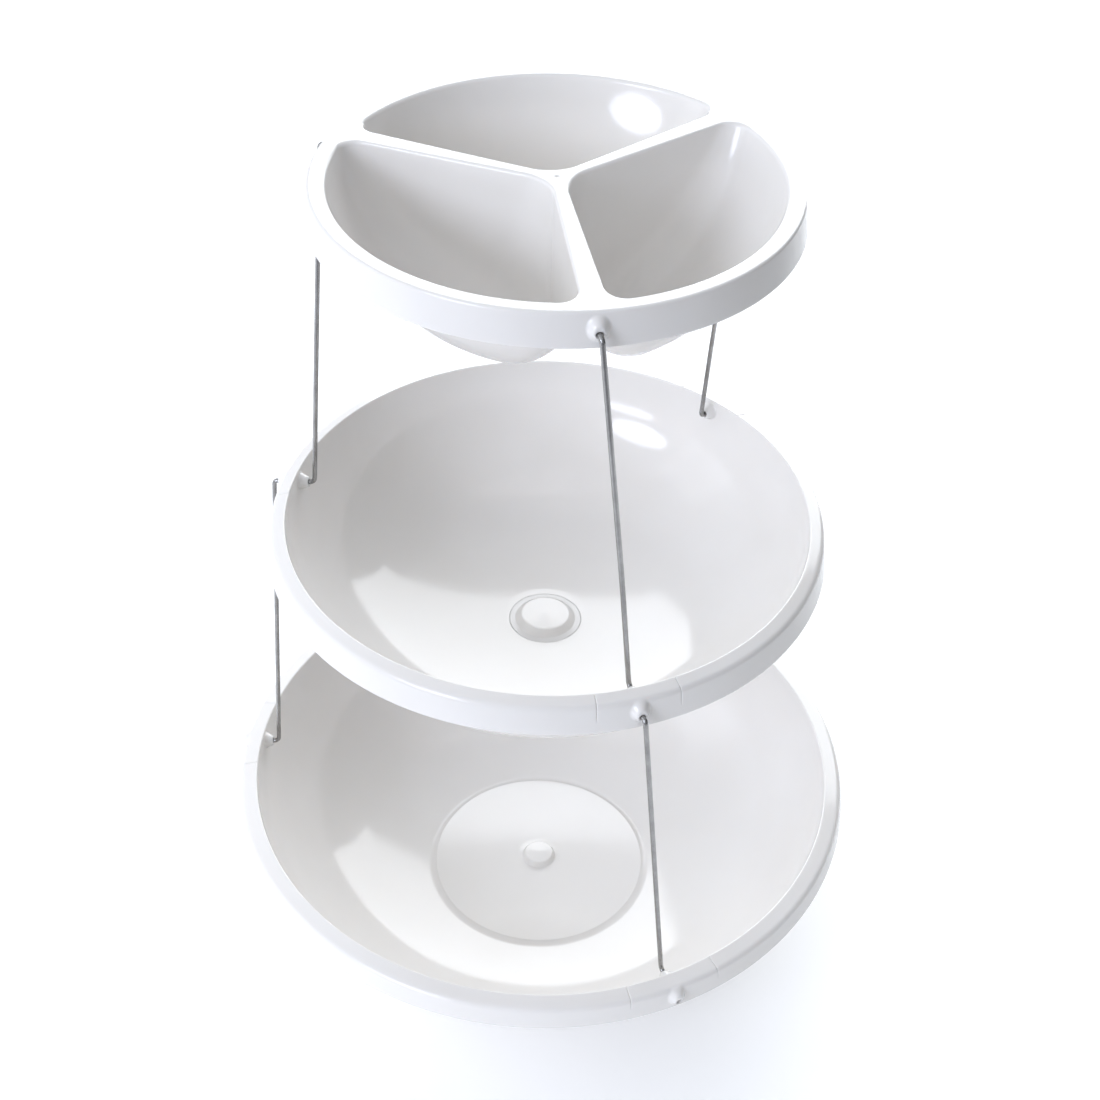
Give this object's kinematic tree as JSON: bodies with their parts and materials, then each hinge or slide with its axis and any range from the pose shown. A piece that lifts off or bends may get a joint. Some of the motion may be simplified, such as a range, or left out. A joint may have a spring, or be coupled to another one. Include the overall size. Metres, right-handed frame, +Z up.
{
  "type": "tiered serving stand",
  "caption": "White plastic tiered serving stand: a divided round dish and two bowls hung one above another on bent steel wires that twist over centre to lock.",
  "frame": {"origin": "on the table under the middle of the stand, at the underside of the foot ring", "axes": "+Z up through the middle of all tiers, -Y towards the front view, +X to the right of that view"},
  "size_m": [0.3117, 0.3094, 0.4211],
  "materials": {
    "white_plastic": "glossy injection-moulded",
    "steel_wire": "bright drawn wire"
  },
  "bodies": {
    "bottom_bowl": {"bottom_bowl": "white_plastic"},
    "middle_bowl": {"middle_bowl": "white_plastic"},
    "top_dish": {"top_dish": "white_plastic"},
    "lower_wire_front": {"lower_wire_front": "steel_wire"},
    "lower_wire_rear": {"lower_wire_rear": "steel_wire"},
    "lower_wire_left": {"lower_wire_left": "steel_wire"},
    "upper_wire_front": {"upper_wire_front": "steel_wire"},
    "upper_wire_rear": {"upper_wire_rear": "steel_wire"},
    "upper_wire_left": {"upper_wire_left": "steel_wire"}
  },
  "joints": [
    {"name": "lower_twist", "type": "hinge", "parent": "bottom_bowl", "child": "middle_bowl", "pos_m": [0, 0, 0.247], "axis": [0, 0, 1], "range_deg": [0, 13]},
    {"name": "upper_twist", "type": "hinge", "parent": "middle_bowl", "child": "top_dish", "pos_m": [0, 0, 0.4135], "axis": [0, 0, 1], "range_deg": [0, 18]},
    {"name": "lower_wire_front_swing", "type": "hinge", "parent": "bottom_bowl", "child": "lower_wire_front", "pos_m": [0.0587, -0.12589, 0.0835], "axis": [-0.4226, 0.9063, 0], "range_deg": [0, 10.33]},
    {"name": "lower_wire_rear_swing", "type": "hinge", "parent": "bottom_bowl", "child": "lower_wire_rear", "pos_m": [0.07967, 0.11378, 0.0835], "axis": [-0.5736, -0.8192, 0], "range_deg": [0, 10.33]},
    {"name": "lower_wire_left_swing", "type": "hinge", "parent": "bottom_bowl", "child": "lower_wire_left", "pos_m": [-0.13837, 0.01211, 0.0835], "axis": [0.9962, -0.0872, 0], "range_deg": [0, 10.33]},
    {"name": "upper_wire_front_swing", "type": "hinge", "parent": "middle_bowl", "child": "upper_wire_front", "pos_m": [0.03576, -0.10688, 0.247], "axis": [-0.3173, 0.9483, 0], "range_deg": [0, 11.08]},
    {"name": "upper_wire_rear_swing", "type": "hinge", "parent": "middle_bowl", "child": "upper_wire_rear", "pos_m": [0.07468, 0.08441, 0.247], "axis": [-0.6626, -0.749, 0], "range_deg": [0, 11.08]},
    {"name": "upper_wire_left_swing", "type": "hinge", "parent": "middle_bowl", "child": "upper_wire_left", "pos_m": [-0.11044, 0.02247, 0.247], "axis": [0.9799, -0.1994, 0], "range_deg": [0, 11.08]}
  ],
  "couplings": [
    {"joint": "lower_wire_front_swing", "follows": "lower_twist", "ratio": 0.7793},
    {"joint": "lower_wire_rear_swing", "follows": "lower_twist", "ratio": 0.7793},
    {"joint": "lower_wire_left_swing", "follows": "lower_twist", "ratio": 0.7793},
    {"joint": "upper_wire_front_swing", "follows": "upper_twist", "ratio": 0.60437},
    {"joint": "upper_wire_rear_swing", "follows": "upper_twist", "ratio": 0.60437},
    {"joint": "upper_wire_left_swing", "follows": "upper_twist", "ratio": 0.60437}
  ]
}
